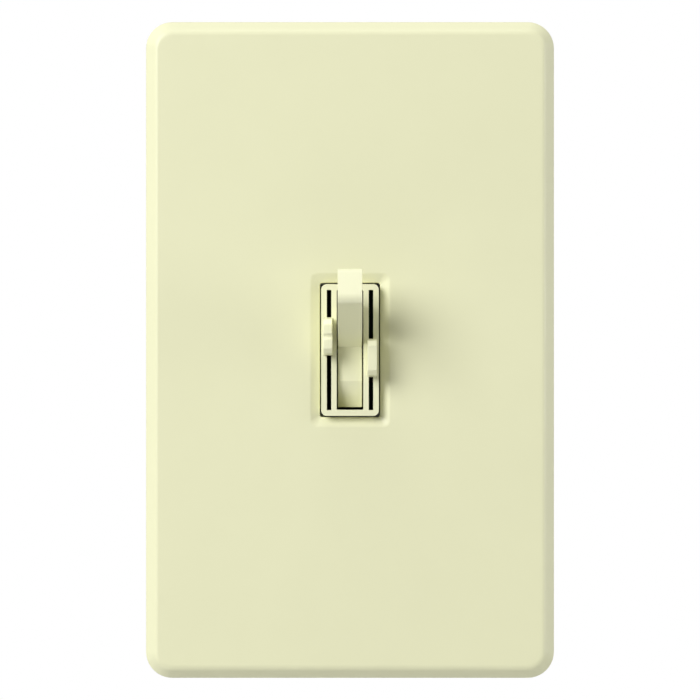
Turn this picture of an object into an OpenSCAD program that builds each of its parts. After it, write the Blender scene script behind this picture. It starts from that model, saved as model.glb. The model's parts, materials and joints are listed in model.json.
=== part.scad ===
// Single-gang toggle dimmer with two slides, behind a screwless wall plate.
// The toggle switches the circuit, the right slide dims a light and the left
// slide sets a fan to one of four speeds.
//
// Frame: +X to the right, +Y into the wall, +Z up, all in millimetres.
// y = 0 is the wall's surface and x = z = 0 is the middle of the device, so
// the origin lies half way between the two wall-box screws.

/* [Wall plate] */
// Width of the wall plate
plate_w = 74.7; // [74:0.1:80]
// Height of the wall plate
plate_h = 120.1; // [119:0.1:128]
// How far the wall plate stands off the wall
plate_d = 6.6; // [6.5:0.1:7]
// Radius of the plate's corners, seen from the front
plate_r = 4.8; // [4.4:0.1:7]
// Width of the bevel round the plate's front edge
bevel_w = 1.9; // [1:0.1:2.1]
// Depth of that bevel
bevel_d = 2.4; // [1:0.1:3.5]
// Wall thickness of the plate
plate_wall = 1.9; // [1.6:0.1:2]
// Depth of the sloped recess round the opening
recess_d = 0.7; // [0.5:0.1:0.9]

/* [Bezel] */
// Width of the bezel that shows in the plate
bezel_w = 10.5; // [10.5:0.1:10.6]
// Height of the bezel
bezel_h = 24; // [24:0.1:24.2]
// Distance of the bezel's face from the wall
bezel_front = 7.7; // [7.4:0.1:7.8]
// Distance of each slider slot from the middle
slot_x = 3.82; // [3.8:0.01:3.85]
// Length of the slider slots
slot_h = 21.9; // [21.5:0.1:22]

/* [Toggle] */
// Tilt of the toggle to each side of level
toggle_throw = 30; // [26:1:30]
// Length of the lever from its pivot to its tip
toggle_len = 23.95; // [22:0.05:24]
// Width of the lever
toggle_w = 4.4; // [4:0.1:4.4]
// Height of the lever at its tip
tip_h = 7.1; // [6:0.1:7.2]

/* [Slides] */
// Travel of a slider knob each way from the middle
slide_travel = 7.4; // [6:0.1:7.4]
// Length of a slider knob
knob_l = 7; // [6:0.1:7]
// Width of a slider knob
knob_w = 1.7; // [1.4:0.1:1.7]
// How far a knob stands out of the bezel
knob_h = 4.1; // [3:0.1:4.5]
// Height of the light slider's knob, as it is set
light_z = -1.43; // [-6:0.01:6]

/* [Housing] */
// Width of the back cover
cover_w = 44.4; // [44.4:0.1:45]
// Height of the back cover
cover_h = 68; // [68:0.1:69]
// Depth of the back cover behind the wall's surface
cover_d = 33; // [33:0.1:36]
// Thickness of the yoke
yoke_t = 1.6; // [1.5:0.1:1.6]

/* [Hidden] */
$fn = 64;
hull_fn = 32;
skin = 0.01;
over = 0.1;

// Standard pitches of a single-gang device
box_pitch = 83.34;
plate_screw_pitch = 60.3;

// Opening of the wall plate, round the bezel
opening_w = bezel_w + 0.45;
opening_h = bezel_h + 0.5;
opening_r = 0.45;
recess_run = 1.72;
plate_ceiling = plate_d - 1.9;
ceiling_bevel = [1.2, 1.3];

// Adapter that the wall plate snaps on to
adapter_play = 1.4;
adapter_w = plate_w - 2 * plate_wall - adapter_play;
adapter_h = plate_h - 2 * plate_wall - adapter_play;
adapter_front = -4;
adapter_back = -2.5;
rim_inset = 1.2;
rim_wall = 1.3;

// Yoke, its screws and the posts of the back cover
yoke_w = 45;
yoke_h = 105;
major_r = 1.75;
neck_r = 1.6;
retainer_w = 9.2;
retainer_t = 0.5;
post_x = 17.2;
post_z = 28.5;
post_r = 3;
triac_hole = [11, -20.5];
triac_leads = [-2.54, 0, 2.54];
ground_hole = [-14, -38.6];

// Bezel and its inside
slot_w = 0.82;
window_w = 4.86;
window_h = 21.8;
face_t = 1.6;
web_out = 3.1;
channel_out = 4.75;
well_h = 23;
channel_h = 22.6;
sheet_t = 0.3;
flange_back = 1.8;
flange_w = 40.2;
flange_top = 31.9;
flange_bottom = -14.9;
pin_r = 0.8;

// Contact blade: a shallow trough that rocks on a round-topped post behind the
// toggle. Its outline is given about its pivot, as distances along y and z.
blade_pivot = 10.6;
blade_t = 0.7;
blade_w = 3.6;
blade_ratio = 0.2;
blade_rest = toggle_throw * blade_ratio;
blade_floor = [-0.95, 0.98];
blade_bend = [-1.49, 2.78];
blade_tip = [-3.61, 6.2];
wing_angle = 31.8;
post_top_r = 0.45;
notch_r = 0.5;

// Contacts, placed along a wing from its bend
contact_run = 2.4;
contact_r = 1.1;
contact_t = 0.6;
contact_gap = 0.06;
seat_y = blade_t + contact_t + contact_gap;
bracket_t = 0.8;
bracket_half = 1.4;

// Slides: four even detents over the travel, the fan one down from the top
stem_t = 0.66;
stem_l = 4.6;
knob_x = 4.03;
knob_edge = 0.9;
knob_gap = 0.05;
fan_z = slide_travel / 3;
carriage_in = 3;
carriage_out = 7.3;
carriage_front = 2.35;
carriage_back = 9;
stem_end = 5.1;
board_in = 8.5;
board_out = 9.3;
guide_front = 1.95;
guide_back = 9.4;
guide_top = 17.3;
guide_bottom = -14.8;
guide_t = 0.3;
track_t = 0.08;
tracks_y = [[2.9, 4.7], [6.4, 8.2]];
wiper_t = 0.22;
detents = [for (i = [-1, -1/3, 1/3, 1]) i * slide_travel];

// Circuit board and the walls of the back cover
pcb_front = 14.2;
pcb_back = 15.8;
choke = [-7.6, -19.6];
cover_wall = 1.8;
terminal_z = 13;
terminal_y = 24.3;
pocket_floor = 16.9;
pocket_h = 12;
wire_hole_r = 1.05;
wire_hole_x = 18.6;
wire_hole_dz = 3.4;
label_w = 27;
label_h = 40;
label_d = 0.35;
strip_gauge = [[-9, 9], [-27.4, -26]];
// Side of each terminal and its height: line on the left, light and fan on the right
terminals = [[-1, terminal_z], [1, terminal_z], [1, -terminal_z]];

ivory = "palegoldenrod";

// ---------------------------------------------------------------- helpers

// Extrudes an outline seen from the front, x right and z up, from y0 back to y1
module facing(y0, y1)
    translate([0, y1, 0]) rotate([90, 0, 0]) linear_extrude(y1 - y0) children();

// Extrudes an outline seen from the side, y to the right and z up, from x0 to x1
module sideways(x0, x1)
    translate([x0, 0, 0]) rotate([90, 0, 90]) linear_extrude(x1 - x0) children();

module block(x, y, z)
    translate([x[0], y[0], z[0]]) cube([x[1] - x[0], y[1] - y[0], z[1] - z[0]]);

// Cylinder or cone along y, from y0 back to y1
module rod_y(r, y0, y1, r_end = undef)
    translate([0, y0, 0]) rotate([-90, 0, 0])
        cylinder(r1 = r, r2 = is_undef(r_end) ? r : r_end, h = y1 - y0);

module rod_x(r, x0, x1)
    translate([x0, 0, 0]) rotate([0, 90, 0]) cylinder(r = r, h = x1 - x0);

// Rounded rectangle about the origin, with true arcs
module rounded(w, h, r) {
    square([w - 2 * r, h], center = true);
    square([w, h - 2 * r], center = true);
    for (x = [-1, 1], z = [-1, 1])
        translate([x * (w / 2 - r), z * (h / 2 - r)]) circle(r);
}

// Outline that is the same above and below the middle, from its upper half
function both_halves(upper) = concat([for (p = upper) [p[0], -p[1]]],
    [for (i = [len(upper) - 1 : -1 : 0]) upper[i]]);

// Copies on both sides of the middle, x or z
module both_x() for (s = [0, 1]) mirror([s, 0, 0]) children();
module both_z() for (s = [0, 1]) mirror([0, 0, s]) children();
module at_xz(p) translate([p[0], 0, p[1]]) children();

// Wire coil about +Z that starts at z = 0
function coil_points(radius, wire, pitch, turns, steps, sides) = [
    for (i = [0 : steps * turns], j = [0 : sides - 1])
        let (t = 360 * i / steps, a = 360 * j / sides, reach = radius + wire * cos(a))
        [reach * cos(t), reach * sin(t), pitch * t / 360 + wire * sin(a)]
];
function tube_sides(rings, sides) = [
    for (i = [0 : rings - 2], j = [0 : sides - 1], half = [0, 1])
        let (a = i * sides + j, b = i * sides + (j + 1) % sides)
        half == 0 ? [a, b, b + sides] : [a, b + sides, a + sides]
];
function tube_faces(rings, sides) = concat(
    [[for (j = [sides - 1 : -1 : 0]) j]],
    [[for (j = [0 : sides - 1]) (rings - 1) * sides + j]],
    tube_sides(rings, sides)
);
module coil(radius, wire, pitch, turns, steps = 18, sides = 8)
    polyhedron(coil_points(radius, wire, pitch, turns, steps, sides),
        tube_faces(steps * turns + 1, sides));

// Pan head with a slot and a cross, its underside at y = 0, facing the front
module pan_head(r, h) difference() {
    union() {
        rod_y(r - 0.6, -h, -h + 0.6, r);
        rod_y(r, -h + 0.6, 0);
    }
    block([-r, r], [-h - over, -h + 0.8], [-0.4, 0.4]);
    block([-0.45, 0.45], [-h - over, -h + 1.1], [-1.9, 1.9]);
}

// ------------------------------------------------------------- wall plate

// Rounded block on the wall, with a bevel round its front edge
module bevelled_block(w, h, r, depth, edge_w, edge_d) hull() {
    facing(-depth + edge_d, 0) rounded(w, h, r, $fn = hull_fn);
    facing(-depth, -depth + skin)
        rounded(w - 2 * edge_w, h - 2 * edge_w, r - edge_w, $fn = hull_fn);
}

module wall_plate() color(ivory) {
    difference() {
        union() {
            difference() {
                bevelled_block(plate_w, plate_h, plate_r, plate_d, bevel_w, bevel_d);
                translate([0, skin, 0]) bevelled_block(
                    plate_w - 2 * plate_wall, plate_h - 2 * plate_wall, plate_r - plate_wall,
                    plate_ceiling, ceiling_bevel[0], ceiling_bevel[1]);
            }
            facing(-plate_ceiling - over, -plate_ceiling + 0.8)
                rounded(opening_w + 3, opening_h + 3, 1.2);
        }
        recess();
    }
    snap_hooks();
}

// Opening for the bezel, with the sloped recess in front of it
module recess() {
    facing(-plate_d, 0) rounded(opening_w, opening_h, opening_r);
    hull() {
        facing(-plate_d - skin, -plate_d)
            rounded(opening_w + 2 * recess_run, opening_h + 2 * recess_run, 1, $fn = hull_fn);
        facing(-plate_d + recess_d - skin, -plate_d + recess_d)
            rounded(opening_w, opening_h, opening_r, $fn = hull_fn);
    }
}

// Ridges inside the plate that catch behind the adapter's lip
module snap_hooks() {
    hook_in = 0.95;
    both_x() for (z = [-32, 32])
        block([plate_w / 2 - plate_wall - hook_in, plate_w / 2 - plate_wall + over],
            [-2.3, -1.5], [z - 4, z + 4]);
    both_z() for (x = [-16, 16])
        block([x - 4, x + 4], [-2.3, -1.5],
            [plate_h / 2 - plate_wall - hook_in, plate_h / 2 - plate_wall + over]);
}

module plate_adapter() color("gainsboro") difference() {
    union() {
        facing(adapter_front, adapter_back) rounded(adapter_w, adapter_h, 2.4);
        facing(adapter_back, 0) adapter_rim();
        both_z() translate([0, 0, plate_screw_pitch / 2]) rod_y(4.6, adapter_back, -yoke_t);
        both_x() block([30.2, 31.2], [adapter_back, -1.2], [-53, 53]);
    }
    facing(adapter_front - over, adapter_back + over) rounded(22, 34, 2);
    facing(adapter_front - over, adapter_back + 1.5) adapter_windows();
    both_z() translate([0, 0, plate_screw_pitch / 2]) {
        rod_y(3.45, adapter_front - skin, adapter_front + 1.6, 1.85);
        rod_y(1.85, adapter_front, 0);
    }
}

module adapter_rim() difference() {
    rounded(adapter_w - 2 * rim_inset, adapter_h - 2 * rim_inset, 2);
    rounded(adapter_w - 2 * (rim_inset + rim_wall), adapter_h - 2 * (rim_inset + rim_wall), 1.4);
}

// Holes for the box screws' heads, and windows that save plastic
module adapter_windows() {
    for (z = [-1, 1]) {
        translate([0, z * box_pitch / 2]) rounded(13, 9, 4.4);
        for (x = [-1, 1]) translate([x * 24, z * 31]) rounded(10, 34, 2);
    }
}

module adapter_screws() color("ivory") both_z() translate([0, 0, plate_screw_pitch / 2]) {
    difference() {
        rod_y(3.3, adapter_front, adapter_front + 1.55, 1.72);
        block([-3.4, 3.4], [adapter_front - over, adapter_front + 0.8], [-0.4, 0.4]);
    }
    rod_y(1.72, adapter_front + 1.55, 2.9);
    rod_y(1.72, 2.9, 3.4, 1.2);
}

// -------------------------------------------------------- yoke and screws

module yoke() color("silver") difference() {
    facing(-yoke_t, 0) difference() {
        union() {
            rounded(yoke_w, 69, 2.5);
            rounded(40, yoke_h, 4);
        }
        rounded(bezel_w + 0.4, bezel_h + 0.4, 1);
        for (z = [-1, 1]) {
            translate([0, z * box_pitch / 2]) rounded(6.8, 4, 1.99);
            for (x = [-1, 1]) translate([x * 20, z * 44]) circle(2);
        }
    }
    both_z() {
        translate([0, 0, plate_screw_pitch / 2]) rod_y(major_r + 0.02, -yoke_t - over, over);
        translate([0, 0, box_pitch / 2]) retainer_seat();
        both_x() at_xz([post_x, post_z]) rod_y(1.6, -yoke_t - over, over);
        block([-18, 18], [-yoke_t - over, -yoke_t + 0.35], [47.4, 47.9]);
    }
    both_x() block([20.3, 20.8], [-yoke_t - over, -yoke_t + 0.35], [-33, 33]);
    at_xz(triac_hole) rod_y(1.65, -yoke_t - over, over);
    at_xz(ground_hole) rod_y(major_r + 0.02, -yoke_t - over, over);
}

module retainer_seat() {
    half = retainer_w / 2 + 0.1;
    block([-half, half], [-retainer_t, over], [-half, half]);
}

// Screws for the wall box: a plain neck in the yoke, then the thread
module box_screws() color("silver") both_z() translate([0, 0, box_pitch / 2]) {
    translate([0, -yoke_t, 0]) pan_head(3.3, 2);
    rod_y(neck_r, -yoke_t, 0);
    rod_y(major_r, 0, 23);
    rod_y(major_r, 23, 23.8, 1);
}

// Fibre squares in the back of the yoke that keep the box screws captive
module screw_retainers() color("saddlebrown") both_z() translate([0, 0, box_pitch / 2])
    difference() {
        block([-retainer_w / 2, retainer_w / 2], [-retainer_t, 0], [-retainer_w / 2, retainer_w / 2]);
        rod_y(neck_r + 0.08, -1, 1);
    }

module insulator_sheet() color("dimgray") difference() {
    block([-flange_w / 2, flange_w / 2], [0, sheet_t], [flange_bottom, flange_top]);
    facing(-over, 1) rounded(bezel_w + 0.2, bezel_h + 0.2, 1);
    both_x() at_xz([post_x, post_z]) rod_y(post_r + 0.2, -over, 1);
    translate([0, 0, plate_screw_pitch / 2]) rod_y(2.1, -over, 1);
}

// ------------------------------------------------------------------ bezel

module bezel() color(ivory) difference() {
    union() {
        facing(-bezel_front, sheet_t) rounded(bezel_w, bezel_h, 1);
        block([-flange_w / 2, flange_w / 2], [sheet_t, flange_back], [flange_bottom, flange_top]);
    }
    facing(-bezel_front - over, 0) rounded(window_w, window_h, 0.2);
    block([-window_w / 2, window_w / 2], [-bezel_front + face_t, flange_back + over],
        [-well_h / 2, well_h / 2]);
    both_x() {
        block([slot_x - slot_w / 2, slot_x + slot_w / 2], [-bezel_front - over, 0],
            [-slot_h / 2, slot_h / 2]);
        block([web_out, channel_out], [-bezel_front + face_t, flange_back + over],
            [-channel_h / 2, channel_h / 2]);
        at_xz([post_x, post_z]) rod_y(post_r + 0.3, 0, 3);
    }
    translate([0, 0, plate_screw_pitch / 2]) rod_y(2.2, 0, 3);
    rod_x(pin_r, -web_out - over, web_out + over);
}

// ----------------------------------------------------------------- toggle

// The toggle is drawn level, pointing at the front, and stands tilted up
module in_toggle() rotate([-toggle_throw, 0, 0]) children();

// From the tip back: the lever, the roof-shaped skirt that closes the window
// above and below it, the hub, and the tail that holds the spring
module toggle_outline() {
    tip_r = 1.4;
    end = toggle_len - tip_r;
    polygon(both_halves([[-end, tip_h / 2], [-6.3, 2.95], [-2.95, 8.25], [1.4, 11.3],
        [1.95, 10.3], [-2.05, 7.45], [-4.4, 3.1], [2.4, 3.1], [2.4, 2.2], [7.4, 2.2]]));
    for (s = [-1, 1]) translate([-end, s * (tip_h / 2 - tip_r)]) circle(tip_r);
    translate([-toggle_len, -tip_h / 2 + tip_r]) square([tip_r + over, tip_h - 2 * tip_r]);
}

module toggle_lever() color(ivory) in_toggle() difference() {
    sideways(-toggle_w / 2, toggle_w / 2) toggle_outline();
    rod_x(pin_r + 0.04, -3, 3);
    rod_y(1.45, 2, 8);
}

module toggle_pin() color("silver") rod_x(pin_r - 0.01, -web_out + 0.02, web_out - 0.02);

module toggle_spring() color("silver") in_toggle()
    translate([0, 2.2, 0]) rotate([-90, 0, 0]) coil(1.1, 0.16, 0.8, 4.5);

module toggle_plunger() color("black") in_toggle() {
    rod_y(1.3, 6.1, 8.35);
    translate([0, 8.35, 0]) sphere(1.3 - 0.05);
}

// --------------------------------------------------------------- contacts

// The blade is drawn level about its pivot, and rocks with the toggle
module in_blade(tilt) translate([0, blade_pivot, 0]) rotate([tilt, 0, 0]) children();

// Places things on a wing's front face, z running outwards: 0 upper, 1 lower
module on_wing(tilt, lower) in_blade(tilt) mirror([0, 0, lower])
    translate([0, blade_bend[0], blade_bend[1]]) rotate([wing_angle, 0, 0]) children();

module contact_blade() color("goldenrod") in_blade(blade_rest)
    sideways(-blade_w / 2, blade_w / 2) difference() {
        polygon(both_halves([blade_floor, blade_bend, blade_tip,
            blade_tip + [blade_t / cos(wing_angle), 0], blade_bend + [blade_t + 0.05, 0],
            [blade_floor[0] + blade_t + 0.05, 1.1], [0.15, 1.1]]));
        circle(notch_r);
        translate([0, -notch_r]) square(2 * notch_r);
    }

module moving_contacts() color("gainsboro") for (lower = [0, 1]) on_wing(blade_rest, lower)
    translate([0, 0, contact_run]) rod_y(contact_r, blade_t, blade_t + contact_t);

// Round-topped post that the blade rocks on, soldered into the board
module blade_post() color("goldenrod") {
    translate([0, blade_pivot, 0]) rod_x(post_top_r, -blade_w / 2, blade_w / 2);
    block([-blade_w / 2, blade_w / 2], [blade_pivot, pcb_front], [-0.4, 0.4]);
}

// The lower wing closes the circuit, and the upper one comes to rest on a stop
module fixed_contact() color("gainsboro") on_wing(blade_rest, 1)
    translate([0, 0, contact_run]) rod_y(contact_r, seat_y, seat_y + contact_t);

function turned(p, a) = [p[0] * cos(a) - p[1] * sin(a), p[0] * sin(a) + p[1] * cos(a)];
function wing_point(p, tilt) =
    let (q = blade_bend + turned(p, wing_angle), r = turned([q[0], -q[1]], tilt))
    [blade_pivot + r[0], r[1]];

// Point at height z on the line from a to b
function at_height(a, b, z) = a + (b - a) * (z - a[1]) / (b[1] - a[1]);

// Strip on the circuit board with a slanted seat, for the lower wing
module bracket(seat) {
    ends = [for (d = [0, bracket_t], s = [-1, 1])
        wing_point([seat + d, contact_run + s * bracket_half], blade_rest)];
    foot = wing_point([seat + bracket_t / 2, contact_run], blade_rest)[1];
    leg = [foot - bracket_t / 2, foot + bracket_t / 2];
    sideways(-blade_w / 2, blade_w / 2) polygon([ends[0], ends[1], ends[3],
        at_height(ends[2], ends[3], leg[0]), [pcb_front, leg[0]],
        [pcb_front, leg[1]], at_height(ends[2], ends[3], leg[1]), ends[2]]);
}
module fixed_contact_bracket() color("goldenrod") bracket(seat_y + contact_t);
module blade_stop() color("dimgray") mirror([0, 0, 1]) bracket(seat_y);

// ----------------------------------------------------------------- slides

// One side of the device: +1 is the light slide on the right, -1 the fan
module on_side(s) mirror([s < 0 ? 1 : 0, 0, 0]) children();

// Blade of the knob that passes through the slot into its carriage
module stem(z) block([slot_x - stem_t / 2, slot_x + stem_t / 2], [-bezel_front - knob_gap, stem_end],
    [z - stem_l / 2, z + stem_l / 2]);

// Knob from the side: a low block with sloped ends, the slope and the groove given
module knob_outline(slope, groove) {
    foot = -bezel_front - knob_gap;
    top = -bezel_front - knob_h;
    half = knob_l / 2;
    difference() {
        polygon(both_halves([[top, half - slope - knob_edge], [top + knob_edge, half - slope],
            [foot, half]]));
        if (groove > 0) translate([top, 0]) rotate(45) square(groove, center = true);
    }
}
module knob(z, slope, groove) {
    sideways(knob_x - knob_w / 2, knob_x + knob_w / 2) translate([0, z]) knob_outline(slope, groove);
    stem(z);
}
module light_knob() color(ivory) on_side(1) knob(light_z, 0.35, 0);
module fan_knob() color(ivory) on_side(-1) knob(fan_z, 0.35, 0.7);

module carriage(z, below, above) difference() {
    block([carriage_in, carriage_out], [carriage_front, carriage_back], [z - below, z + above]);
    block([slot_x - 0.37, slot_x + 0.37], [carriage_front - over, stem_end + 0.05],
        [z - stem_l / 2 - 0.05, z + stem_l / 2 + 0.05]);
    block([5, carriage_out + over], [4.4, 7], [z - 1.6, z + 1.6]);
}
module light_carriage() color("saddlebrown") on_side(1) carriage(light_z, 4.6, 3.5);
module fan_carriage() color("saddlebrown") on_side(-1) carriage(fan_z, 4.7, 8.6);

// Bent brass strip with two fingers that brush the tracks
module wiper(z) {
    for (y = tracks_y) facing(y[0] + 0.4, y[1] - 0.4) translate([0, z])
        polygon([[carriage_out, -3.4], [carriage_out + wiper_t, -3.4],
            [carriage_out + wiper_t, -2], [board_in - 0.1, 0.2], [board_in - 0.3, 1.3],
            [board_in - 0.5, 1.3], [board_in - 0.36, 0.3], [carriage_out, -1.8]]);
    block([carriage_out, carriage_out + wiper_t], [tracks_y[0][1] - 0.4, tracks_y[1][0] + 0.4],
        [z - 3.4, z - 2.4]);
}
module light_wiper() color("goldenrod") on_side(1) wiper(light_z);
module fan_wiper() color("goldenrod") on_side(-1) wiper(fan_z);

module track_board() block([board_in, board_out],
    [guide_front + guide_t + 0.05, guide_back - guide_t - 0.05],
    [guide_bottom + guide_t, guide_top - guide_t]);
module light_track_board() color("peru") on_side(1) track_board();
module fan_contact_board() color("peru") on_side(-1) track_board();

// Strip on the inner face of a track board
module track(y, z0, z1) block([board_in - track_t, board_in], y, [z0, z1]);
module light_tracks() color("black") on_side(1) for (y = tracks_y) track(y, -9.4, 10.2);
module fan_pads() color("goldenrod") on_side(-1) {
    for (z = detents) track(tracks_y[0], z - 1.3, z + 2.1);
    track(tracks_y[1], -9.4, 10.2);
}

// Steel channel that holds the track board and guides the carriage
module guide() difference() {
    block([4.7, board_out + guide_t], [guide_front, guide_back], [guide_bottom, guide_top]);
    block([4, board_out], [guide_front + guide_t, guide_back - guide_t],
        [guide_bottom + guide_t, guide_top - guide_t]);
    block([4, 6.5], [7.5, guide_back + over], [guide_bottom - over, guide_top + over]);
}
module guide_legs() for (z = [guide_bottom + 1, guide_top - 2])
    block([board_out, board_out + guide_t], [guide_back, pcb_front], [z, z + 1]);
module light_guide() color("silver") on_side(1) {
    guide();
    guide_legs();
}
module fan_guide() color("silver") on_side(-1) {
    guide();
    guide_legs();
}

// Leaf on the fan carriage, with a nose over the notches of the rail
rail_front = 10.3;
rail_back = 11.5;
rail_half = 13.5;
rail_foot = 1.2;
module detent_spring() color("silver") on_side(-1) sideways(3.6, 6) translate([0, fan_z])
    polygon([[carriage_back, 7.6], [carriage_back, 5], [9.5, 1], [9.85, 0], [9.5, -1], [9.25, -3],
        [9.45, -3], [9.7, -1.1], [rail_front - 0.1, 0], [9.7, 1.1], [carriage_back + wiper_t, 5.2],
        [carriage_back + wiper_t, 7.6]]);
module detent_rail() color("whitesmoke") on_side(-1) {
    difference() {
        block([3.4, 6.2], [rail_front, rail_back], [-rail_half, rail_half]);
        for (z = detents) translate([0, rail_front, z]) rotate([45, 0, 0])
            cube([20, 0.9, 0.9], center = true);
    }
    for (z = [-rail_half, rail_half - rail_foot])
        block([3.4, 6.2], [rail_back, pcb_front], [z, z + rail_foot]);
}

// ------------------------------------------------------------ electronics

// The board is notched at its corners, round the posts of the back cover
module circuit_board() color("darkgreen") difference() {
    facing(pcb_front, pcb_back) {
        square([39.6, 50.4], center = true);
        square([27.8, 63.2], center = true);
    }
    for (z = triac_leads) at_xz([-4.2, triac_hole[1] + z]) rod_y(0.6, pcb_front - 1, pcb_back + 1);
}

// Power switch in a TO-220 case, its tab against the yoke
module triac() color("dimgray") at_xz([0, triac_hole[1]]) {
    difference() {
        block([-1.6, 14], [0.25, 1.55], [-5.1, 5.1]);
        translate([triac_hole[0], 0, 0]) rod_y(1.85, 0, 3);
    }
    block([-1.6, 7.6], [1.55, 4.75], [-5.1, 5.1]);
    for (z = triac_leads) {
        block([-4.55, -1.6], [2.8, 3.5], [z - 0.35, z + 0.35]);
        block([-4.55, -3.85], [3.5, 16.4], [z - 0.35, z + 0.35]);
    }
}
module triac_pad() color("lightgray") at_xz([0, triac_hole[1]]) difference() {
    block([-2, 14.1], [0, 0.25], [-5.4, 5.4]);
    translate([triac_hole[0], 0, 0]) rod_y(1.85, -1, 3);
}
module triac_rivet() color("silver") at_xz(triac_hole) {
    rod_y(2.7, -yoke_t - 0.6, -yoke_t);
    rod_y(1.6, -yoke_t, 1.55);
    rod_y(2.7, 1.55, 2.4);
}

// Ring choke on the back of the board: the winding wraps the core
module ring(r_in, r_out, y0, y1) difference() {
    rod_y(r_out, y0, y1);
    rod_y(r_in, y0 - over, y1 + over);
}
module choke_core() color("dimgray") at_xz(choke) ring(4.7, 8.6, 17.4, 24.8);
module choke_winding() color("peru") at_xz(choke) {
    difference() {
        ring(4, 9.3, 16.7, 25.5);
        ring(4.7, 8.6, 17.4, 24.8);
    }
    for (s = [-1, 1]) translate([s * 6.6, 0, 0]) rod_y(0.5, pcb_back, 16.8);
}

module filter_capacitor() color("gold") block([2.5, 11], [pcb_back, 27.5], [-30.5, -12.5]);
module fan_capacitor_large() color("gold") block([-12.6, -0.8], [pcb_back, 30.4], [-5, 25]);
module fan_capacitor_small() color("gold") block([0.8, 9.6], [pcb_back, 28], [-5, 25]);

// Small parts on the front of the board, above the switch
module axial_part(x, z, r, l) translate([x, pcb_front - r - 0.05, z]) {
    rod_x(r, -l / 2, l / 2);
    rod_x(0.3, -l / 2 - 1.6, l / 2 + 1.6);
    for (s = [-1, 1]) translate([s * (l / 2 + 1.3), 0, 0])
        block([-0.3, 0.3], [0, r + 0.05], [-0.3, 0.3]);
}
module resistors() color("tan") {
    axial_part(0, 22, 1.2, 6.4);
    axial_part(0, 26, 1.2, 6.4);
    axial_part(-6, 30, 1.2, 6.4);
}
module diac() color("royalblue") axial_part(7, 30, 0.95, 4);
module timing_capacitor() color("firebrick") block([-13.6, -7.4], [8.6, pcb_front], [20.4, 23.4]);

// ------------------------------------------------------------- back cover

module back_cover() color("darkslategray") difference() {
    union() {
        difference() {
            cover_block(cover_w, cover_h, 0, cover_d);
            facing(-over, cover_d - 2)
                rounded(cover_w - 2 * cover_wall, cover_h - 2 * cover_wall, 1);
        }
        both_x() both_z() at_xz([post_x, post_z]) rod_y(post_r, 0, cover_d - 1);
        both_x() for (z = [-24, 0, 24])
            block([19.2, cover_w / 2 - 1], [pcb_back, cover_d - 2], [z - 0.6, z + 0.6]);
        for (t = terminals) on_side(t[0]) translate([0, 0, t[1]])
            block([pocket_floor - 1.4, cover_w / 2 - 1], [17, cover_d - 2],
                [-pocket_h / 2 - 1.4, pocket_h / 2 + 1.4]);
    }
    for (t = terminals) on_side(t[0]) translate([0, 0, t[1]]) terminal_pocket();
    both_x() both_z() at_xz([post_x, post_z]) rod_y(1.2, -over, 12);
    facing(cover_d - label_d, cover_d + over) rounded(label_w, label_h, 1);
    block(strip_gauge[0], [cover_d - label_d, cover_d + over], strip_gauge[1]);
}

// Outer block with the two long back edges and the ends rounded off
module cover_block(w, h, y0, y1) {
    edge = 2.5;
    hull() {
        facing(y0, y1 - edge) rounded(w, h, 2, $fn = hull_fn);
        facing(y1 - skin, y1) rounded(w - 2 * edge, h - 2 * edge, 1, $fn = hull_fn);
    }
}

module terminal_pocket() {
    block([pocket_floor, cover_w], [18.6, cover_d - 3], [-pocket_h / 2, pocket_h / 2]);
    translate([0, terminal_y, 0]) rod_x(2.4, pocket_floor - 3, pocket_floor + 1);
    at_xz([wire_hole_x, -wire_hole_dz]) rod_y(wire_hole_r, cover_d - 4, cover_d + 1);
    block([17.05, 17.85], [15, 19], [-2, 2]);
}

module housing_screws() color("silver") both_x() both_z() at_xz([post_x, post_z]) {
    translate([0, -yoke_t, 0]) difference() {
        rod_y(2.6, -0.8, 0);
        block([-2.7, 2.7], [-1, -0.4], [-0.3, 0.3]);
    }
    rod_y(1.5, -yoke_t, 0);
    rod_y(1.18, 0, 9);
}

// Brass plate in each pocket, with a tail that reaches the circuit board
module terminal_plates() color("goldenrod") for (t = terminals) on_side(t[0])
    translate([0, 0, t[1]]) difference() {
        union() {
            block([pocket_floor, pocket_floor + 1], [19, 29.6], [-5.4, 5.4]);
            block([17.1, 17.8], [pcb_back, 19], [-1.9, 1.9]);
        }
        translate([0, terminal_y, 0]) rod_x(2.08, 10, 30);
    }

module terminal_screws() color("gold") for (t = terminals) on_side(t[0])
    translate([0, terminal_y, t[1]]) {
        rod_x(2.06, 15, 19.9);
        difference() {
            rod_x(4, 19.9, 21.7);
            block([20.8, 23], [-0.5, 0.5], [-4.1, 4.1]);
        }
    }

module ground_screw() color("green") at_xz(ground_hole) {
    rod_y(major_r, -yoke_t, 1.2);
    difference() {
        union() {
            rod_y(3.6, 1.2, 1.8);
            translate([0, 1.8, 0]) rotate([-90, 0, 0]) cylinder(r = 3.4, h = 2, $fn = 6);
        }
        block([-3.7, 3.7], [2.9, 5], [-0.5, 0.5]);
    }
}

wall_plate();
plate_adapter();
adapter_screws();
yoke();
box_screws();
screw_retainers();
insulator_sheet();
bezel();
toggle_lever();
toggle_pin();
toggle_spring();
toggle_plunger();
contact_blade();
moving_contacts();
blade_post();
fixed_contact_bracket();
fixed_contact();
blade_stop();
light_knob();
light_carriage();
light_wiper();
light_track_board();
light_tracks();
light_guide();
fan_knob();
fan_carriage();
fan_wiper();
fan_contact_board();
fan_pads();
fan_guide();
detent_spring();
detent_rail();
circuit_board();
triac();
triac_pad();
triac_rivet();
choke_core();
choke_winding();
filter_capacitor();
fan_capacitor_large();
fan_capacitor_small();
resistors();
diac();
timing_capacitor();
back_cover();
housing_screws();
terminal_plates();
terminal_screws();
ground_screw();
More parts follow.
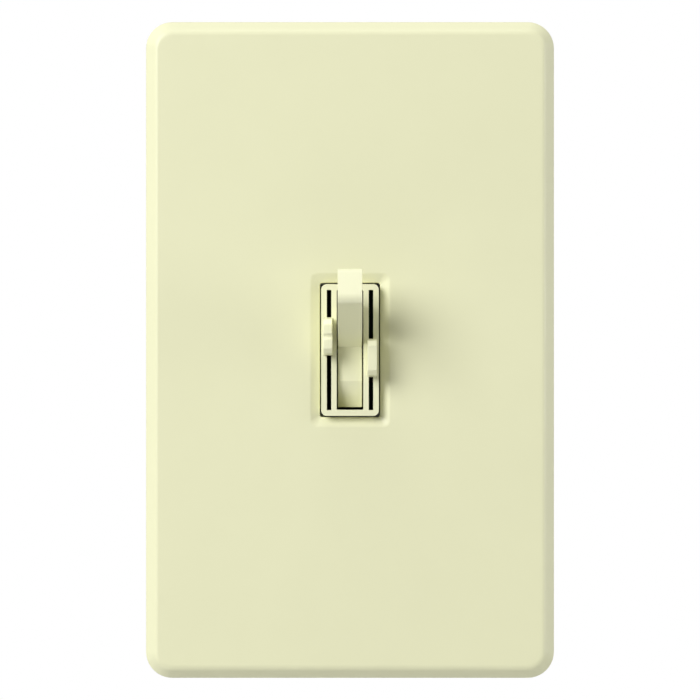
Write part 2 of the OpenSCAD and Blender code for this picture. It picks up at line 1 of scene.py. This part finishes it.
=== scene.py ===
"""Toggle dimmer with two slides: the looks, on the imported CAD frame.

The CAD nodes give every place and size. Plastic and metal pieces are rebuilt
here with the small edge radii, threads and windings that real ones have, and
each gets a procedural material. Lengths are in metres, except where a name
ends in _mm or a comment says millimetres.
"""

import json
import math

import bmesh
import bpy
from mathutils import Matrix, Vector


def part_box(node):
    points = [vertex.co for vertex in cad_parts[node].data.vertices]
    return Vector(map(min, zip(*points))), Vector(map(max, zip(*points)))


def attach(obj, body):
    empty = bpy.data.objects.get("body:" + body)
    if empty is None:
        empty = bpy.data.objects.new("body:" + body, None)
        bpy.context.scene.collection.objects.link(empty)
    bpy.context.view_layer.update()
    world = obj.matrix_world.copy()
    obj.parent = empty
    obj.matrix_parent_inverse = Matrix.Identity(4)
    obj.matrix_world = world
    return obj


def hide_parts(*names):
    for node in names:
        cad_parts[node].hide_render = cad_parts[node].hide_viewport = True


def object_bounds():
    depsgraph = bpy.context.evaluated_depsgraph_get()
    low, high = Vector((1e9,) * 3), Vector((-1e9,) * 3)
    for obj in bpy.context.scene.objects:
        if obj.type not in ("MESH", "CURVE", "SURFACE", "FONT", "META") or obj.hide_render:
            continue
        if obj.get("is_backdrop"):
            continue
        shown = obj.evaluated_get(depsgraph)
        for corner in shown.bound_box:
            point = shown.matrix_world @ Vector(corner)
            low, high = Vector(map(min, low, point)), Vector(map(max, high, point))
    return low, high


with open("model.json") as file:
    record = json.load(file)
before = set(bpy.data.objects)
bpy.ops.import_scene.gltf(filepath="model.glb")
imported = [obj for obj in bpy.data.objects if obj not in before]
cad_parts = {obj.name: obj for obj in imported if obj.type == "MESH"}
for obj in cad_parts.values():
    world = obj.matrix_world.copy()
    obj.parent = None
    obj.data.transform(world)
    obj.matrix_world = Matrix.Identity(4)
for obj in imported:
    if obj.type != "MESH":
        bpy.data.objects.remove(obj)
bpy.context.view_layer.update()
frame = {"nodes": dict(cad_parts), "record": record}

MM = 0.001
BODY_OF = {node: body for body, nodes in frame["record"]["behaviour"]["bodies"].items()
           for node in nodes}
SLOT_OF = {s["node"]: s["material_slot"] for s in frame["record"]["subparts"]}


# ------------------------------------------------------------------ materials

class Surface:
    """A Principled material whose colour, roughness and relief come from noise."""

    def __init__(self, name, **constants):
        self.material = bpy.data.materials.new(name)
        self.material.use_nodes = True
        self.tree = self.material.node_tree
        self.shader = self.tree.nodes["Principled BSDF"]
        for socket, value in constants.items():
            self.shader.inputs[socket.replace("_", " ")].default_value = value
        self.place = self.tree.nodes.new("ShaderNodeTexCoord").outputs["Object"]
        self.height = None

    def noise(self, per_m, stretch=(1, 1, 1), detail=3, rough=0.5):
        """Noise with per_m features to the metre, stretched along the axes."""
        mapping = self.tree.nodes.new("ShaderNodeMapping")
        mapping.inputs["Scale"].default_value = stretch
        self.tree.links.new(self.place, mapping.inputs["Vector"])
        tex = self.tree.nodes.new("ShaderNodeTexNoise")
        tex.inputs["Scale"].default_value = per_m
        tex.inputs["Detail"].default_value = detail
        tex.inputs["Roughness"].default_value = rough
        self.tree.links.new(mapping.outputs["Vector"], tex.inputs["Vector"])
        return tex.outputs["Fac"]

    def ramp(self, source, stops):
        """Colours by position along a value from 0 to 1."""
        node = self.tree.nodes.new("ShaderNodeValToRGB")
        elements = node.color_ramp.elements
        while len(elements) < len(stops):
            elements.new(0.5)
        for element, (at, colour) in zip(elements, stops):
            element.position = at
            element.color = (*colour, 1)
        self.tree.links.new(source, node.inputs["Fac"])
        return node.outputs["Color"]

    def colour(self, source, low, high, span=(0.3, 0.7)):
        """Colour that drifts between two values with the noise."""
        out = self.ramp(source, [(span[0], low), (span[1], high)])
        self.tree.links.new(out, self.shader.inputs["Base Color"])
        return self

    def roughness(self, source, low, high):
        """Roughness that drifts between two values with the noise."""
        node = self.tree.nodes.new("ShaderNodeMapRange")
        node.inputs["From Min"].default_value = 0.3
        node.inputs["From Max"].default_value = 0.7
        node.inputs["To Min"].default_value = low
        node.inputs["To Max"].default_value = high
        self.tree.links.new(source, node.inputs["Value"])
        self.tree.links.new(node.outputs["Result"], self.shader.inputs["Roughness"])
        return self

    def relief(self, source, depth):
        """Adds bumps of the given depth in metres, on top of earlier ones."""
        node = self.tree.nodes.new("ShaderNodeBump")
        node.inputs["Distance"].default_value = depth
        self.tree.links.new(source, node.inputs["Height"])
        if self.height:
            self.tree.links.new(self.height, node.inputs["Normal"])
        self.height = node.outputs["Normal"]
        self.tree.links.new(self.height, self.shader.inputs["Normal"])
        return self


def tinted(colour, factor):
    """A lighter or darker tone of a colour."""
    return tuple(min(1, c * factor) for c in colour)


def moulded(name, colour, rough, grain=5e-6, drift=0.03, **constants):
    """Moulded plastic: faint flow marks, a fine skin and uneven gloss."""
    s = Surface(name, **constants)
    s.colour(s.noise(45, detail=5), tinted(colour, 1 - drift), tinted(colour, 1 + drift))
    s.roughness(s.noise(160, detail=4), rough - 0.04, rough + 0.05)
    s.relief(s.noise(2600, detail=2), grain)
    s.relief(s.noise(90, detail=2), grain * 3)
    return s.material


def brushed(name, colour, rough):
    """Rolled sheet metal with a fine grain along Z."""
    stretch = (1, 1, 0.03)
    s = Surface(name, Metallic=1.0)
    s.colour(s.noise(2200, stretch, 4), tinted(colour, 0.9), tinted(colour, 1.05))
    s.roughness(s.noise(1500, stretch, 4), rough - 0.08, rough + 0.1)
    s.relief(s.noise(3000, stretch, 3), 2e-6)
    s.relief(s.noise(60, detail=3), 6e-6)
    return s.material


def plated(name, colour, rough, dull=0.75):
    """Plated or machined metal with dull blotches and fine pits."""
    s = Surface(name, Metallic=1.0)
    s.colour(s.noise(500, detail=6, rough=0.65), tinted(colour, dull), colour, (0.38, 0.6))
    s.roughness(s.noise(350, detail=5), rough - 0.07, rough + 0.14)
    s.relief(s.noise(4200, detail=2), 2e-6)
    return s.material


def board(name, colour, line):
    """Resin board: a woven ground under a skin of lacquer."""
    s = Surface(name, Coat_Weight=0.4, Coat_Roughness=0.2)
    s.colour(s.noise(700, (1, 1, 0.4), 4), line, colour, (0.35, 0.55))
    s.roughness(s.noise(300), 0.35, 0.5)
    s.relief(s.noise(2500, (1, 1, 0.3), 2), 6e-6)
    return s.material


IVORY = (0.772, 0.771, 0.514)

# By material slot: colour, roughness, and for plastics the depth of the grain in
# metres and how far the colour drifts
LOOKS = {
    "ivory_plastic": moulded("ivory_plastic", IVORY, 0.42, 3e-6, 0.008, IOR=1.46),
    "ivory_controls": moulded("ivory_controls", (0.81, 0.81, 0.558), 0.33, 2e-6, 0.006),
    "adapter_plastic": moulded("adapter_plastic", (0.66, 0.66, 0.58), 0.55, 8e-6),
    "ivory_screw": moulded("ivory_screw", tinted(IVORY, 0.97), 0.36, 4e-6),
    "yoke_metal": brushed("yoke_metal", (0.80, 0.81, 0.82), 0.34),
    "zinc_steel": plated("zinc_steel", (0.72, 0.73, 0.72), 0.28),
    "spring_steel": plated("spring_steel", (0.55, 0.55, 0.56), 0.3),
    "fibre": moulded("fibre", (0.20, 0.085, 0.035), 0.7, 1.5e-5, 0.2),
    "insulator": moulded("insulator", (0.03, 0.03, 0.032), 0.5, 8e-6, 0.1),
    "nylon_black": moulded("nylon_black", (0.018, 0.018, 0.018), 0.4, 8e-6, 0.1),
    "carriage_brown": moulded("carriage_brown", (0.045, 0.030, 0.017), 0.5, 1e-5, 0.15),
    "copper_alloy": brushed("copper_alloy", (0.80, 0.56, 0.25), 0.3),
    "silver_contact": plated("silver_contact", (0.90, 0.89, 0.86), 0.25),
    "track_board_resin": board("track_board_resin", (0.33, 0.17, 0.055), (0.22, 0.11, 0.035)),
    "carbon_ink": moulded("carbon_ink", (0.015, 0.015, 0.016), 0.6, 1e-5, 0.2),
    "rail_plastic": moulded("rail_plastic", (0.75, 0.75, 0.72), 0.4, 5e-6),
    "board_green": board("board_green", (0.018, 0.13, 0.045), (0.010, 0.085, 0.028)),
    "semiconductor_black": moulded("semiconductor_black", (0.016, 0.016, 0.018), 0.5,
                                   8e-6, 0.2),
    "thermal_pad": moulded("thermal_pad", (0.42, 0.42, 0.40), 0.8, 1e-5, 0.05),
    "ferrite": moulded("ferrite", (0.50, 0.42, 0.06), 0.55, 1.5e-5, 0.08),
    "copper_winding": plated("copper_winding", (0.72, 0.27, 0.11), 0.25, 0.8),
    "film_yellow": moulded("film_yellow", (0.70, 0.40, 0.02), 0.3, 5e-6, 0.06),
    "resistor_tan": moulded("resistor_tan", (0.55, 0.38, 0.19), 0.3, 6e-6, 0.08),
    "diac_blue": moulded("diac_blue", (0.03, 0.09, 0.32), 0.15, 3e-6, 0.1),
    "film_red": moulded("film_red", (0.33, 0.02, 0.015), 0.25, 1.2e-5, 0.1),
    "cover_plastic": moulded("cover_plastic", (0.022, 0.024, 0.027), 0.46, 1.6e-5, 0.18),
    "brass_screw": plated("brass_screw", (0.83, 0.60, 0.25), 0.26, 0.82),
    "ground_green": moulded("ground_green", (0.012, 0.16, 0.04), 0.3, 6e-6, 0.12),
}


# ----------------------------------------------------------------- mesh tools

def new_piece(name, mesh, node):
    """A finished object that stands for a CAD node and moves with its body."""
    obj = bpy.data.objects.new(name, mesh)
    bpy.context.scene.collection.objects.link(obj)
    for polygon in mesh.polygons:
        polygon.use_smooth = True
    mesh.materials.clear()
    mesh.materials.append(LOOKS[SLOT_OF[node]])
    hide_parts(node)
    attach(obj, BODY_OF[node])
    return obj


def even_shading(obj):
    """Keeps large faces flat beside their rounded edges."""
    weighted = obj.modifiers.new("even shading", "WEIGHTED_NORMAL")
    weighted.mode = "FACE_AREA"
    weighted.weight = 100
    weighted.keep_sharp = True


def drop_slivers(bm):
    """Takes out edges of no length and faces of no area."""
    bmesh.ops.dissolve_degenerate(bm, dist=1e-7, edges=bm.edges)


def mesh_of(name, verts, faces):
    """A mesh without slivers from lists of points and faces."""
    mesh = bpy.data.meshes.new(name)
    mesh.from_pydata([tuple(v) for v in verts], [], faces)
    mesh.validate()
    bm = bmesh.new()
    bm.from_mesh(mesh)
    drop_slivers(bm)
    bm.to_mesh(mesh)
    bm.free()
    return mesh


def welded(node):
    """A CAD node's mesh with its shared corners joined."""
    bm = bmesh.new()
    bm.from_mesh(frame["nodes"][node].data)
    bmesh.ops.remove_doubles(bm, verts=bm.verts, dist=1e-6)
    return bm


def rounded_copy(node, radius_mm):
    """A copy of a CAD node with a small radius on every sharp edge."""
    flat, rounded_from, sharp_from = 0.6, 20, 50  # degrees between two faces
    bm = welded(node)
    bmesh.ops.dissolve_limit(bm, angle_limit=math.radians(flat), verts=bm.verts,
                             edges=bm.edges)
    limit = math.radians(rounded_from)
    edges = [e for e in bm.edges if len(e.link_faces) == 2 and e.calc_face_angle(0) > limit]
    bmesh.ops.bevel(bm, geom=edges, offset=radius_mm * MM, offset_type="OFFSET",
                    segments=3, profile=0.5, affect="EDGES", clamp_overlap=True,
                    miter_outer="ARC")
    drop_slivers(bm)
    bmesh.ops.recalc_face_normals(bm, faces=bm.faces)
    mesh = bpy.data.meshes.new(node + "_finished")
    bm.to_mesh(mesh)
    bm.free()
    mesh.set_sharp_from_angle(angle=math.radians(sharp_from))
    even_shading(new_piece(node + "_finished", mesh, node))


def islands(node):
    """The lowest and highest corners of each separate solid of a CAD node."""
    bm = welded(node)
    left, found = set(bm.verts), []
    while left:
        stack, group = [left.pop()], []
        while stack:
            v = stack.pop()
            group.append(v.co.copy())
            for e in v.link_edges:
                w = e.other_vert(v)
                if w in left:
                    left.remove(w)
                    stack.append(w)
        lo = Vector([min(p[i] for p in group) for i in range(3)])
        hi = Vector([max(p[i] for p in group) for i in range(3)])
        found.append((lo, hi))
    bm.free()
    return sorted(found, key=lambda b: tuple(b[0]))


def bent(path, reach, steps):
    """Rounds each inner point of a path into a curve that starts reach before it
    and ends reach after it; a list gives each point its own reach."""
    reaches = reach if isinstance(reach, list) else [reach] * (len(path) - 2)
    out = [path[0]]
    for a, b, c, r in zip(path, path[1:], path[2:], reaches):
        before, after = a - b, c - b
        near = min(r, before.length / 2, after.length / 2)
        start, end = b + before * (near / before.length), b + after * (near / after.length)
        for i in range(steps + 1):
            t = i / steps
            out.append(start * (1 - t) ** 2 + b * 2 * t * (1 - t) + end * t ** 2)
    out.append(path[-1])
    return out


def oblong(half_w, half_h, radius, y, steps=10):
    """Points of a rounded rectangle in the plane y, anticlockwise from the front."""
    points = []
    for k, (sx, sz) in enumerate([(1, 1), (-1, 1), (-1, -1), (1, -1)]):
        for i in range(steps + 1):
            a = math.radians(90 * k + 90 * i / steps)
            points.append(Vector((sx * (half_w - radius) + radius * math.cos(a), y,
                                  sz * (half_h - radius) + radius * math.sin(a))))
    return points


def lofted(rings, closed=False):
    """Vertices and faces of a skin over rings with the same number of points. It
    either runs back into its first ring or has a flat face at each end."""
    count = len(rings[0])
    verts = [p for ring in rings for p in ring]
    faces = []
    for i in range(len(rings) if closed else len(rings) - 1):
        j = (i + 1) % len(rings)
        for k in range(count):
            m = (k + 1) % count
            faces.append((i * count + k, i * count + m, j * count + m, j * count + k))
    if not closed:
        faces.append(tuple(reversed(range(count))))
        faces.append(tuple(range(len(verts) - count, len(verts))))
    return verts, faces


def tube(path, radius, sides=8, closed=False):
    """A round tube along a path of vectors."""
    rings, up = [], None
    count = len(path)
    for i, p in enumerate(path):
        ahead = path[(i + 1) % count] if closed or i + 1 < count else p
        behind = path[i - 1] if closed or i > 0 else p
        way = (ahead - behind).normalized()
        up = (way.orthogonal() if up is None else up - way * up.dot(way)).normalized()
        side = way.cross(up)
        rings.append([p + (up * math.cos(a) + side * math.sin(a)) * radius
                      for a in (2 * math.pi * s / sides for s in range(sides))])
    return lofted(rings, closed)


def joined(parts):
    """One list of vertices and faces from several."""
    verts, faces = [], []
    for v, f in parts:
        faces += [tuple(i + len(verts) for i in face) for face in f]
        verts += list(v)
    return verts, faces


# -------------------------------------------------------------- wall plate

def wall_plate():
    """The plate's skin in mm, lofted ring by ring from the back edge, over the
    front and through the opening to the inside, with soft blends at every edge."""
    lo, hi = (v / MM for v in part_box("wall_plate"))
    half_w, half_h, front = hi.x, hi.z, lo.y
    corner, wall, bevel_w, bevel_d = 4.8, 1.9, 1.9, 2.4
    cove_w, cove_d = 1.2, 1.3
    open_w, open_h, open_corner = 5.475, 12.25, 0.45
    recess_run, recess_d, recess_corner = 1.72, 0.7, 1.2
    collar_w, collar_d = 1.5, 0.8
    rim = 0.12
    floor_y, ceiling = front + recess_d, front + wall

    def outer(inset, y):
        """Half width, half height, corner radius and depth of a ring."""
        return Vector((half_w - inset, half_h - inset, corner - inset, y))

    def inner(grow, y, radius=open_corner):
        return Vector((open_w + grow, open_h + grow, radius, y))

    outside = bent([outer(rim, 0), outer(0, -rim), outer(0, front + bevel_d),
                    outer(bevel_w, front), inner(recess_run + 2, front, 2.6)],
                   [0.1, 0.25, 0.95], 6)
    inside = bent([inner(recess_run + 1.9, front, 2.5),
                   inner(recess_run, front, recess_corner),
                   inner(0.1, floor_y - 0.03), inner(0, floor_y + 0.1),
                   inner(0, ceiling + collar_d),
                   inner(collar_w, ceiling + collar_d, recess_corner),
                   inner(collar_w, ceiling, recess_corner),
                   outer(wall + cove_w, ceiling), outer(wall, ceiling + cove_d),
                   outer(wall, -rim), outer(wall - rim, 0)], 0.42, 6)
    rings = [[p * MM for p in oblong(*ring)] for ring in outside + inside]
    hooks = [rounded_box(*corners, radius_mm=0.25)
             for corners in hook_boxes(half_w - wall, half_h - wall)]
    mesh = mesh_of("wall_plate_finished", *joined([lofted(rings, closed=True)] + hooks))
    even_shading(new_piece("wall_plate_finished", mesh, "wall_plate"))


def hook_boxes(inside_w, inside_h):
    """Corners, in mm, of the ridges that snap behind the adapter."""
    reach, sunk, half_length = 0.95, 0.1, 4
    low_y, high_y = -2.3, -1.5
    for s in (-1, 1):
        for z in (-32, 32):
            xs = sorted((s * (inside_w - reach), s * (inside_w + sunk)))
            yield (xs[0], low_y, z - half_length), (xs[1], high_y, z + half_length)
        for x in (-16, 16):
            zs = sorted((s * (inside_h - reach), s * (inside_h + sunk)))
            yield (x - half_length, low_y, zs[0]), (x + half_length, high_y, zs[1])


def rounded_box(lo_mm, hi_mm, radius_mm, segments=2):
    """Vertices and faces of a box with rounded edges."""
    lo, hi = Vector(lo_mm), Vector(hi_mm)
    bm = bmesh.new()
    bmesh.ops.create_cube(bm, size=1)
    for v in bm.verts:
        v.co = Vector([lo[i] + (v.co[i] + 0.5) * (hi[i] - lo[i]) for i in range(3)])
    bmesh.ops.bevel(bm, geom=bm.edges, offset=radius_mm, segments=segments, profile=0.5,
                    affect="EDGES", clamp_overlap=True)
    bm.verts.index_update()
    out = ([v.co * MM for v in bm.verts], [tuple(v.index for v in f.verts) for f in bm.faces])
    bm.free()
    return out


# ------------------------------------------------------------------ screws

def threaded(radius, length):
    """A threaded shank along +Z from z = 0, in mm, with a tapered tip."""
    pitch, depth, sides, rows = 0.794, 0.30, 28, 8
    taper_length, tip_size = 0.9, 0.72
    rings = []
    for i in range(round(length / pitch * rows) + 1):
        z = i * pitch / rows
        narrowing = tip_size + (1 - tip_size) * max(0, min(1, (length - z) / taper_length))
        ring = []
        for k in range(sides):
            turn = k / sides
            wave = abs((z / pitch - turn) % 1 * 2 - 1)
            r = (radius - depth * wave) * narrowing
            a = 2 * math.pi * turn
            ring.append(Vector((r * math.cos(a), r * math.sin(a), z)))
        rings.append(ring)
    return lofted(rings)


def turned(profile, sides=40):
    """A solid of revolution about z from (radius, z) points in mm, ends closed."""
    rings = [[Vector((r * math.cos(a), r * math.sin(a), z))
              for a in (2 * math.pi * k / sides for k in range(sides))] for r, z in profile]
    return lofted(rings)


def linked(name, verts, faces):
    """A plain object in the scene."""
    obj = bpy.data.objects.new(name, mesh_of(name, verts, faces))
    bpy.context.scene.collection.objects.link(obj)
    return obj


def screw_head(profile, slot_w, slot_d, cross=False, sides=40):
    """A turned head, in mm, with a slot cut in its face, which looks along -Z.
    With cross, a shorter and deeper second slot crosses the first."""
    face_z = min(z for _, z in profile)
    reach = max(r for r, _ in profile) + 1
    bars = [((-reach, -slot_w / 2, face_z - 1), (reach, slot_w / 2, face_z + slot_d))]
    if cross:
        short, deep = reach * 0.45, slot_d * 1.3
        bars.append(((-slot_w / 2, -short, face_z - 1), (slot_w / 2, short, face_z + deep)))
    head = linked("head", *turned(profile, sides))
    cutters = []
    for lo, hi in bars:
        verts, faces = rounded_box(lo, hi, 0.02, 1)
        cutter = linked("bar", [v / MM for v in verts], faces)
        cut = head.modifiers.new("slot", "BOOLEAN")
        cut.operation, cut.solver, cut.object = "DIFFERENCE", "EXACT", cutter
        cutters.append(cutter)
    made = head.evaluated_get(bpy.context.evaluated_depsgraph_get()).to_mesh()
    solid = ([v.co.copy() for v in made.vertices], [tuple(p.vertices) for p in made.polygons])
    for obj in [head] + cutters:
        bpy.data.objects.remove(obj)
    return solid


def placed(solid, at, toward, spin):
    """Moves a solid in mm so that its z axis starts at a point and runs toward
    a direction, turned by spin degrees about that axis."""
    verts, faces = solid
    turn = Vector((0, 0, 1)).rotation_difference(Vector(toward)).to_matrix().to_4x4()
    matrix = Matrix.Translation(at) @ turn @ Matrix.Rotation(math.radians(spin), 4, "Z") \
        @ Matrix.Scale(MM, 4)
    return [matrix @ v for v in verts], faces


def screws(node, head, length, radius, toward, start, spins, neck=None):
    """Every screw of a node: a head, a thread of that length and radius from start
    mm behind the head's face, and a neck given as its radius and two ends.
    Screws along X point to the middle of the device from whichever side they are on."""
    parts = []
    axis = max(range(3), key=lambda i: abs(toward[i]))
    for (lo, hi), spin in zip(islands(node), spins):
        centre, way = (lo + hi) / 2, Vector(toward)
        if axis == 0:
            way = Vector((-1 if centre.x > 0 else 1, 0, 0))
        centre[axis] = lo[axis] if way[axis] > 0 else hi[axis]
        verts, faces = threaded(radius, length)
        solids = [head, ([v + Vector((0, 0, start)) for v in verts], faces)]
        if neck:
            neck_r, neck_from, neck_to = neck
            solids.append(turned([(neck_r, neck_from), (neck_r, neck_to)], 28))
        parts += [placed(solid, centre, way, spin) for solid in solids]
    mesh = mesh_of(node + "_finished", *joined(parts))
    mesh.set_sharp_from_angle(angle=math.radians(38))
    new_piece(node + "_finished", mesh, node)


# Outlines of the heads: radius and distance behind the face, in mm
PAN = [(0.4, 0), (2.3, 0.05), (2.9, 0.3), (3.2, 0.8), (3.3, 1.3), (3.3, 2.0)]
SMALL_PAN = [(0.3, 0), (2.0, 0.03), (2.45, 0.2), (2.6, 0.45), (2.6, 0.8)]
TERMINAL = [(0.4, 0), (3.6, 0), (3.9, 0.12), (4.0, 0.3), (4.0, 1.5), (3.85, 1.72), (3.6, 1.8)]
FLAT = [(0.4, 0), (3.15, 0), (3.3, 0.12), (1.72, 1.55)]
HEX = [(0.4, 0), (3.0, 0), (3.4, 0.25), (3.4, 2.0)]
WASHER = [(1.0, 2.0), (3.5, 2.0), (3.6, 2.1), (3.6, 2.5), (3.5, 2.6), (1.0, 2.6)]


def all_screws():
    into_wall, out_of_wall, sideways = (0, 1, 0), (0, -1, 0), (-1, 0, 0)
    screws("box_screws", screw_head(PAN, 0.9, 1.1, cross=True), 23.8, 1.75, into_wall,
           start=3.6, spins=(20, -35), neck=(1.55, 1.9, 3.7))
    screws("adapter_screws", screw_head(FLAT, 0.8, 0.8), 5.85, 1.72, into_wall,
           start=1.5, spins=(0, 4))
    screws("housing_screws", screw_head(SMALL_PAN, 0.6, 0.4), 9.8, 1.18, into_wall,
           start=1.6, spins=(10, 50, -20, 80), neck=(1.5, 0.7, 1.7))
    screws("terminal_screws", screw_head(TERMINAL, 1.0, 0.9), 4.95, 2.06, sideways,
           start=1.75, spins=(35, 80, 10))
    washer_head = joined([screw_head(HEX, 1.0, 0.9, sides=6), turned(WASHER)])
    screws("ground_screw", washer_head, 2.85, 1.75, out_of_wall, start=2.55, spins=(12,))


# ------------------------------------------------------------- small works

def choke_winding():
    """Turns of enamelled wire round the ring core, and the two lead ends, in mm."""
    lo, hi = (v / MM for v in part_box("choke_winding"))
    core_lo, core_hi = (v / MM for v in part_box("choke_core"))
    centre = (core_lo + core_hi) / 2
    wire, lead_wire, turns, core_w, clear = 0.33, 0.45, 34, 3.9, 0.38
    first_angle, wound_angle = 20, 320
    bend, lead_x = 0.9, 6.6
    outer = (core_hi.x - core_lo.x) / 2 + clear
    inner = outer - 2 * clear - core_w
    front, back = core_lo.y - clear, core_hi.y + clear
    parts = []
    for n in range(turns):
        a = math.radians(first_angle + wound_angle * n / (turns - 1))
        out = Vector((math.cos(a), 0, math.sin(a)))
        loop = [centre + out * r + Vector((0, y - centre.y, 0))
                for r, y in ((inner, front), (outer, front), (outer, back), (inner, back))]
        path = bent(loop + loop[:2], bend, 4)[1:-1]
        parts.append(tube([p * MM for p in path], wire * MM, closed=True))
    for side in (-1, 1):
        x = centre.x + side * lead_x
        lead = [Vector((x, y, centre.z)) * MM for y in (lo.y, front + 0.3)]
        parts.append(tube(lead, lead_wire * MM))
    mesh = mesh_of("choke_winding_finished", *joined(parts))
    new_piece("choke_winding_finished", mesh, "choke_winding")


def toggle_spring():
    """The coil in the toggle's tail, with closed ends, along the tail's axis, in mm."""
    plunger_lo, plunger_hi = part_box("toggle_plunger")
    way = (plunger_lo + plunger_hi) / 2
    way.x = 0
    way.normalize()
    side = Vector((1, 0, 0))
    up = way.cross(side)
    radius, wire, start, end, turns = 1.12, 0.15, 2.2, 5.92, 6.5
    points_per_turn, end_turns, tightness = 20, 1.2, 0.05
    path = []
    for i in range(int(turns * points_per_turn) + 1):
        t = i / points_per_turn
        squeeze = min(1, t / end_turns, (turns - t) / end_turns)
        f = t / turns
        drawn_in = tightness * math.sin(2 * math.pi * f) * (1 - squeeze)
        along = start + (end - start) * (f + drawn_in)
        a = 2 * math.pi * t
        path.append((way * along + (side * math.cos(a) + up * math.sin(a)) * radius) * MM)
    mesh = mesh_of("toggle_spring_finished", *tube(path, wire * MM))
    new_piece("toggle_spring_finished", mesh, "toggle_spring")


def colour_plain_nodes():
    """Flat strips, sheets and pins keep their CAD shape and only get a material."""
    for node, obj in frame["nodes"].items():
        if not obj.hide_render:
            obj.data.materials.clear()
            obj.data.materials.append(LOOKS[SLOT_OF[node]])


# Pieces whose CAD shape is right but for the radii on their edges, in mm
EDGE_RADII = {
    "plate_adapter": 0.25, "yoke": 0.18, "screw_retainers": 0.08, "bezel": 0.2,
    "toggle_lever": 0.28, "toggle_plunger": 0.12, "contact_blade": 0.08,
    "moving_contacts": 0.12, "fixed_contact": 0.12, "fixed_contact_bracket": 0.1,
    "blade_stop": 0.1, "blade_post": 0.08, "light_knob": 0.26, "fan_knob": 0.22,
    "light_carriage": 0.15, "fan_carriage": 0.15, "light_guide": 0.06, "fan_guide": 0.06,
    "light_track_board": 0.08, "fan_contact_board": 0.08, "detent_rail": 0.12,
    "circuit_board": 0.12, "triac": 0.1, "triac_rivet": 0.25, "choke_core": 0.5,
    "filter_capacitor": 0.7, "fan_capacitor_large": 0.8, "fan_capacitor_small": 0.8,
    "timing_capacitor": 0.9, "resistors": 0.25, "diac": 0.2, "back_cover": 0.22,
    "terminal_plates": 0.12,
}

for node_name, radius in EDGE_RADII.items():
    rounded_copy(node_name, radius)
wall_plate()
all_screws()
choke_winding()
toggle_spring()
colour_plain_nodes()


# ------------------------------------------------------------ floor and light

# Strength of the surrounding light in front of the device and behind it, and
# where along Y it turns from one into the other, on a sphere of radius 1
ROOM, BACKDROP = 0.13, 0.47
ROOM_ENDS, BACKDROP_STARTS = -0.25, 0.05

# Way to the lamp, its size in metres and its power in watts
LAMP_DISTANCE = 1.6
LAMPS = {
    "key": ((-0.86, -1.0, 0.6), 0.9, 27.6),
    "fill": ((1.0, -0.12, 0.1), 0.8, 11.4),
    "top": ((-0.1, -0.2, 1.0), 0.8, 5.6),
}


def floor():
    """A pale floor well below the device."""
    lo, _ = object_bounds()
    half, drop = 0.7, 0.5
    plane = linked("floor", [(-half, -half, 0), (half, -half, 0), (half, half, 0),
                             (-half, half, 0)], [(0, 1, 2, 3)])
    plane.location.z = lo.z - drop
    paper = Surface("floor_paper")
    paper.colour(paper.noise(3, detail=4), (0.77, 0.77, 0.77), (0.81, 0.81, 0.81))
    paper.roughness(paper.noise(8), 0.7, 0.8)
    plane.data.materials.append(paper.material)
    plane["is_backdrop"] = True


def surround():
    """A dim room in front of the device that turns into a brighter backdrop at
    its sides and behind it. The camera sees plain white all round."""
    world = bpy.data.worlds.new("surround")
    bpy.context.scene.world = world
    world.use_nodes = True
    nodes, links = world.node_tree.nodes, world.node_tree.links
    toward = nodes.new("ShaderNodeSeparateXYZ")
    links.new(nodes.new("ShaderNodeTexCoord").outputs["Generated"], toward.inputs["Vector"])
    light = nodes.new("ShaderNodeMapRange")
    light.interpolation_type = "SMOOTHSTEP"
    for socket, value in (("From Min", ROOM_ENDS), ("From Max", BACKDROP_STARTS),
                          ("To Min", ROOM), ("To Max", BACKDROP)):
        light.inputs[socket].default_value = value
    links.new(toward.outputs["Y"], light.inputs["Value"])
    seen = nodes.new("ShaderNodeMath")
    seen.operation = "MAXIMUM"
    links.new(nodes.new("ShaderNodeLightPath").outputs["Is Camera Ray"], seen.inputs[0])
    links.new(light.outputs["Result"], seen.inputs[1])
    links.new(seen.outputs["Value"], nodes["Background"].inputs["Strength"])
    nodes["Background"].inputs["Color"].default_value = (1, 1, 1, 1)


def lamp(name, direction, size, power):
    """A square soft lamp that looks at the middle of the device."""
    light = bpy.data.lights.new(name, "AREA")
    light.energy, light.size = power, size
    obj = bpy.data.objects.new(name, light)
    obj.location = Vector(direction).normalized() * LAMP_DISTANCE
    obj.rotation_euler = (-obj.location).to_track_quat("-Z", "Y").to_euler()
    bpy.context.scene.collection.objects.link(obj)


def camera():
    """Square-on in front, far enough back to be nearly free of perspective."""
    plate_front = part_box("wall_plate")[0].y
    distance, seen_width, sensor = 0.65, 0.1277, 36
    cam = bpy.data.cameras.new("camera")
    cam.sensor_width = sensor
    cam.lens = sensor * distance / seen_width
    obj = bpy.data.objects.new("camera", cam)
    obj.location = (0, plate_front - distance, 0)
    obj.rotation_euler = (math.radians(90), 0, 0)
    bpy.context.scene.collection.objects.link(obj)
    bpy.context.scene.camera = obj


floor()
surround()
for lamp_name, (way, size, power) in LAMPS.items():
    lamp(lamp_name, way, size, power)
bpy.context.scene.view_settings.view_transform = "Standard"
camera()
